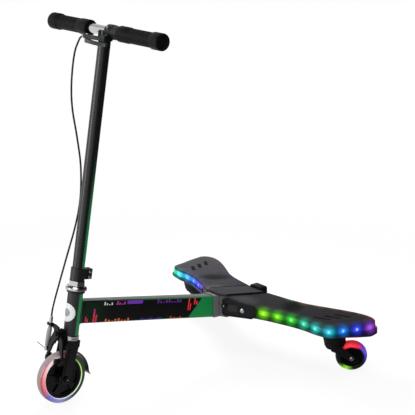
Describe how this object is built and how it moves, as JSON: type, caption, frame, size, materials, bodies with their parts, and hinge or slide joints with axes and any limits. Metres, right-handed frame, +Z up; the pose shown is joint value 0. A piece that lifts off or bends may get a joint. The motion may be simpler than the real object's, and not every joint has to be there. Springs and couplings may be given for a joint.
{
  "type": "tricycle drifter scooter",
  "caption": "Standing drift scooter with a raked, braked front wheel, a slanted beam and a winged deck with light bands, each wing carried by an inclined caster.",
  "frame": {"origin": "on the ground, under the middle of the outline: the front wheel and both caster wheels stand on z = 0", "axes": "+X forward, +Y to the rider's left, +Z up"},
  "size_m": [0.7822, 0.68, 0.8755],
  "materials": {
    "black_paint": "satin black over green",
    "grey_paint": "matt dark grey",
    "chrome": "polished",
    "cast_alloy": "tumbled casting",
    "steel": "zinc plated",
    "black_plastic": "fine grain",
    "deck_plastic": "soft grip texture",
    "clear_plastic": "clear, lit from inside",
    "clear_tyre": "clear cast, lit from inside",
    "black_rubber": "matt",
    "grey_rubber": "matt",
    "battery": "shrink sleeve"
  },
  "bodies": {
    "frame": {"main_frame": "black_paint", "upper_cup": "chrome", "lower_cup": "chrome", "hub_casting": "grey_paint", "center_strip": "grey_paint", "tail_box": "black_plastic", "battery_pack": "battery", "wing_shell_left": "black_plastic", "wing_shell_right": "black_plastic", "light_band_left": "clear_plastic", "light_band_right": "clear_plastic", "deck_pad_left": "deck_plastic", "deck_pad_right": "deck_plastic", "root_plate_left": "black_plastic", "root_plate_right": "black_plastic", "root_bolt_left": "steel", "root_bolt_right": "steel", "caster_mount_left": "black_plastic", "caster_mount_right": "black_plastic"},
    "steering": {"fork": "black_paint", "upper_cone": "chrome", "locknut": "chrome", "front_fender": "black_plastic", "front_axle": "steel", "front_axle_nut": "steel", "stem_tube": "black_paint", "collar_clamp": "black_paint", "collar_bolt_lower": "steel", "collar_bolt_upper": "steel", "handlebar": "chrome", "grip_left": "black_rubber", "grip_right": "black_rubber", "lever_bracket": "cast_alloy", "lever_pin": "steel", "lever_barrel": "chrome", "brake_cable": "black_rubber", "caliper_bolt": "chrome"},
    "front_wheel": {"front_tyre": "clear_tyre", "front_hub": "black_plastic", "front_bearing_left": "steel", "front_bearing_right": "steel"},
    "brake_lever": {"lever_blade": "cast_alloy"},
    "caliper_outer": {"caliper_arm_outer": "black_paint", "barrel_adjuster": "chrome", "cable_boot": "grey_rubber", "brake_pad_right": "black_rubber"},
    "caliper_inner": {"caliper_arm_inner": "black_paint", "cable_anchor": "steel", "brake_pad_left": "black_rubber"},
    "caster_left": {"caster_fork_left": "black_plastic", "caster_axle_left": "steel"},
    "caster_wheel_left": {"caster_tyre_left": "clear_tyre", "caster_hub_left": "black_plastic"},
    "caster_right": {"caster_fork_right": "black_plastic", "caster_axle_right": "steel"},
    "caster_wheel_right": {"caster_tyre_right": "clear_tyre", "caster_hub_right": "black_plastic"},
    "light_button": {"light_button": "grey_rubber"}
  },
  "joints": [
    {"name": "steering", "type": "hinge", "parent": "frame", "child": "steering", "pos_m": [0.32525, 0, 0], "axis": [-0.1659, 0, 0.9861], "range_deg": [-80, 80]},
    {"name": "front_wheel_spin", "type": "hinge", "parent": "steering", "child": "front_wheel", "pos_m": [0.32863, 0, 0.0625], "axis": [0, 1, 0], "continuous": true},
    {"name": "brake_lever_squeeze", "type": "hinge", "parent": "steering", "child": "brake_lever", "pos_m": [0.21384, -0.026, 0.83942], "axis": [-0.1659, 0, 0.9861], "range_deg": [0, 18], "stiffness_Nm_per_rad": 3, "springref_deg": -5.73},
    {"name": "caliper_outer_pivot", "type": "hinge", "parent": "steering", "child": "caliper_outer", "pos_m": [0.29754, 0, 0.16469], "axis": [0.9861, 0, 0.1659], "range_deg": [0, 2], "deforming": ["cable_boot"]},
    {"name": "caliper_inner_pivot", "type": "hinge", "parent": "steering", "child": "caliper_inner", "pos_m": [0.29754, 0, 0.16469], "axis": [0.9861, 0, 0.1659], "range_deg": [-2, 0]},
    {"name": "caster_left_swivel", "type": "hinge", "parent": "frame", "child": "caster_left", "pos_m": [-0.29634, 0.274, 0.06739], "axis": [0.2588, 0, 0.9659], "continuous": true},
    {"name": "caster_left_spin", "type": "hinge", "parent": "caster_left", "child": "caster_wheel_left", "pos_m": [-0.32935, 0.29608, 0.03896], "axis": [0.6463, 0.7431, -0.1732], "continuous": true},
    {"name": "caster_right_swivel", "type": "hinge", "parent": "frame", "child": "caster_right", "pos_m": [-0.29634, -0.274, 0.06739], "axis": [0.2588, 0, 0.9659], "continuous": true},
    {"name": "caster_right_spin", "type": "hinge", "parent": "caster_right", "child": "caster_wheel_right", "pos_m": [-0.32935, -0.29608, 0.03896], "axis": [-0.6463, 0.7431, 0.1732], "continuous": true},
    {"name": "light_button_press", "type": "slide", "parent": "frame", "child": "light_button", "axis": [1, 0, 0], "range_m": [0, 0.0015], "stiffness_N_per_m": 300, "springref_m": -0.002}
  ],
  "couplings": [
    {"joint": "caliper_outer_pivot", "follows": "brake_lever_squeeze", "ratio": 0.105},
    {"joint": "caliper_inner_pivot", "follows": "brake_lever_squeeze", "ratio": -0.105}
  ]
}
